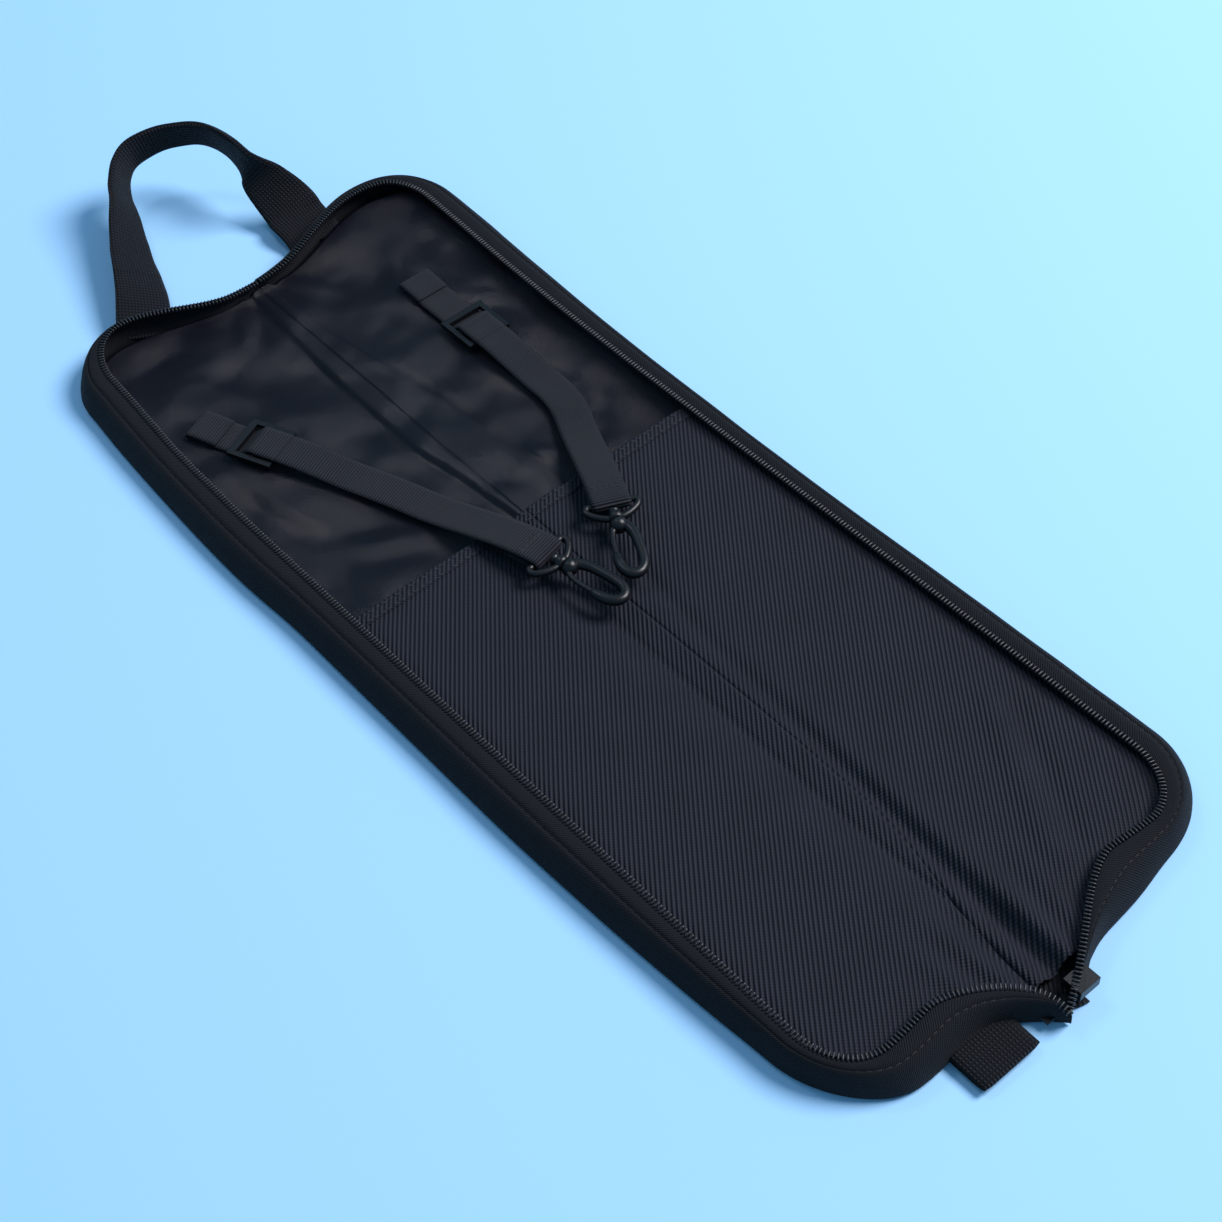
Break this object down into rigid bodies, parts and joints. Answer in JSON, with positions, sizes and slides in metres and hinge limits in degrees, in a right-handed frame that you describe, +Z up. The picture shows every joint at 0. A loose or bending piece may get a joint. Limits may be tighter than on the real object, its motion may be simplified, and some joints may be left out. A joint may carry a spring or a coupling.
{
  "type": "drum stick bag",
  "caption": "Soft drum stick bag lying open like a book, with zip rim, slip pockets, webbing handle and two swivel snap hook straps.",
  "frame": {"origin": "on the underside of the spine, midway between the two ends of the body", "axes": "+X across towards the right half, +Y along the bag towards the handle, +Z up out of the open bag"},
  "size_m": [0.19, 0.5489, 0.0404],
  "materials": {
    "black_cloth": "matt woven polyester",
    "oxford": "ribbed Oxford cloth",
    "nylon_lining": "shiny creased nylon taffeta",
    "webbing": "basket weave polypropylene webbing",
    "strap_webbing": "fine ribbed nylon webbing",
    "plastic": "moulded acetal, satin gloss",
    "foam": "thin closed-cell foam pad"
  },
  "bodies": {
    "spine": {"spine_cover": "black_cloth", "spine_lining": "nylon_lining", "spine_pocket_strip": "oxford", "bottom_end_wall": "black_cloth", "bottom_lip_tape": "black_cloth", "bottom_lip_coil": "plastic"},
    "left_half": {"left_cover": "black_cloth", "left_foam_pad": "foam", "left_lining": "nylon_lining", "left_gusset": "black_cloth", "left_zip_tape": "black_cloth", "left_zip_coil": "plastic", "left_seam_binding": "black_cloth", "left_pocket": "oxford", "left_pocket_hem": "oxford", "left_handle_leg": "webbing", "left_strap_patch": "strap_webbing"},
    "left_anchor": {"left_anchor_webbing": "strap_webbing", "left_triglide": "plastic"},
    "left_strap": {"left_strap_webbing": "strap_webbing"},
    "left_eye": {"left_swivel_eye": "plastic"},
    "left_hook": {"left_snap_hook": "plastic"},
    "left_gate": {"left_hook_gate": "plastic"},
    "right_half": {"right_cover": "black_cloth", "right_foam_pad": "foam", "right_lining": "nylon_lining", "right_gusset": "black_cloth", "right_zip_tape": "black_cloth", "right_zip_coil": "plastic", "right_seam_binding": "black_cloth", "right_pocket": "oxford", "right_pocket_hem": "oxford", "right_handle_leg": "webbing", "right_strap_patch": "strap_webbing"},
    "right_anchor": {"right_anchor_webbing": "strap_webbing", "right_triglide": "plastic"},
    "right_strap": {"right_strap_webbing": "strap_webbing"},
    "right_eye": {"right_swivel_eye": "plastic"},
    "right_hook": {"right_snap_hook": "plastic"},
    "right_gate": {"right_hook_gate": "plastic"},
    "handle": {"handle_loop": "webbing"},
    "tab": {"bottom_tab": "webbing"},
    "slider": {"zip_slider": "plastic"},
    "pull": {"slider_pull": "plastic"}
  },
  "joints": [
    {"name": "left_fold", "type": "hinge", "parent": "spine", "child": "left_half", "pos_m": [-0.0122, 0, 0.001], "axis": [0, 1, 0], "range_deg": [0, 90]},
    {"name": "right_fold", "type": "hinge", "parent": "spine", "child": "right_half", "pos_m": [0.0122, 0, 0.001], "axis": [0, -1, 0], "range_deg": [0, 90]},
    {"name": "left_strap_swing", "type": "hinge", "parent": "left_half", "child": "left_anchor", "pos_m": [-0.0615, 0.1491, 0.005], "axis": [0, 0, -1], "range_deg": [0, 19.5]},
    {"name": "left_strap_lift", "type": "hinge", "parent": "left_anchor", "child": "left_strap", "pos_m": [-0.04822, 0.1178, 0.009], "axis": [0.9205, 0.3907, 0], "range_deg": [-100, 0]},
    {"name": "left_eye_tilt", "type": "hinge", "parent": "left_strap", "child": "left_eye", "pos_m": [-0.01185, 0.00379, 0.0138], "axis": [0.9774, 0.2113, 0], "range_deg": [-75, 0]},
    {"name": "left_hook_swivel", "type": "hinge", "parent": "left_eye", "child": "left_hook", "pos_m": [-0.01185, 0.00379, 0.0138], "axis": [0.2113, -0.9774, 0], "continuous": true},
    {"name": "left_gate_flex", "type": "hinge", "parent": "left_hook", "child": "left_gate", "pos_m": [-0.01132, -0.01001, 0.0138], "axis": [0, 0, -1], "range_deg": [-14, 0], "stiffness_Nm_per_rad": 0.05},
    {"name": "right_strap_swing", "type": "hinge", "parent": "right_half", "child": "right_anchor", "pos_m": [0.0512, 0.1584, 0.005], "axis": [0, 0, 1], "range_deg": [0, 6.5]},
    {"name": "right_strap_lift", "type": "hinge", "parent": "right_anchor", "child": "right_strap", "pos_m": [0.0512, 0.1134, 0.009], "axis": [1, 0, 0], "range_deg": [-100, 0]},
    {"name": "right_eye_tilt", "type": "hinge", "parent": "right_strap", "child": "right_eye", "pos_m": [0.02227, 0.00656, 0.0138], "axis": [0.9026, -0.4305, 0], "range_deg": [-75, 0]},
    {"name": "right_hook_swivel", "type": "hinge", "parent": "right_eye", "child": "right_hook", "pos_m": [0.02227, 0.00656, 0.0138], "axis": [-0.4305, -0.9026, 0], "continuous": true},
    {"name": "right_gate_flex", "type": "hinge", "parent": "right_hook", "child": "right_gate", "pos_m": [0.01425, -0.00469, 0.0138], "axis": [0, 0, -1], "range_deg": [-14, 0], "stiffness_Nm_per_rad": 0.05},
    {"name": "handle_lift", "type": "hinge", "parent": "spine", "child": "handle", "pos_m": [0, 0.2478, 0.0128], "axis": [-1, 0, 0], "range_deg": [-85, 0]},
    {"name": "bottom_tab_flip", "type": "hinge", "parent": "left_half", "child": "tab", "pos_m": [-0.0359, -0.232, 0.0036], "axis": [1, 0, 0], "range_deg": [-60, 0]},
    {"name": "zip_slide", "type": "slide", "parent": "spine", "child": "slider", "axis": [0, 1, 0], "range_m": [0, 0.004]},
    {"name": "slider_pull_tilt", "type": "hinge", "parent": "slider", "child": "pull", "pos_m": [0, -0.2442, 0.003], "axis": [0, 1, 0], "range_deg": [0, 15]}
  ],
  "couplings": [
    {"joint": "right_fold", "follows": "left_fold", "ratio": 1},
    {"joint": "left_strap_swing", "follows": "left_fold", "ratio": 0.21667},
    {"joint": "right_strap_swing", "follows": "left_fold", "ratio": 0.072222}
  ]
}
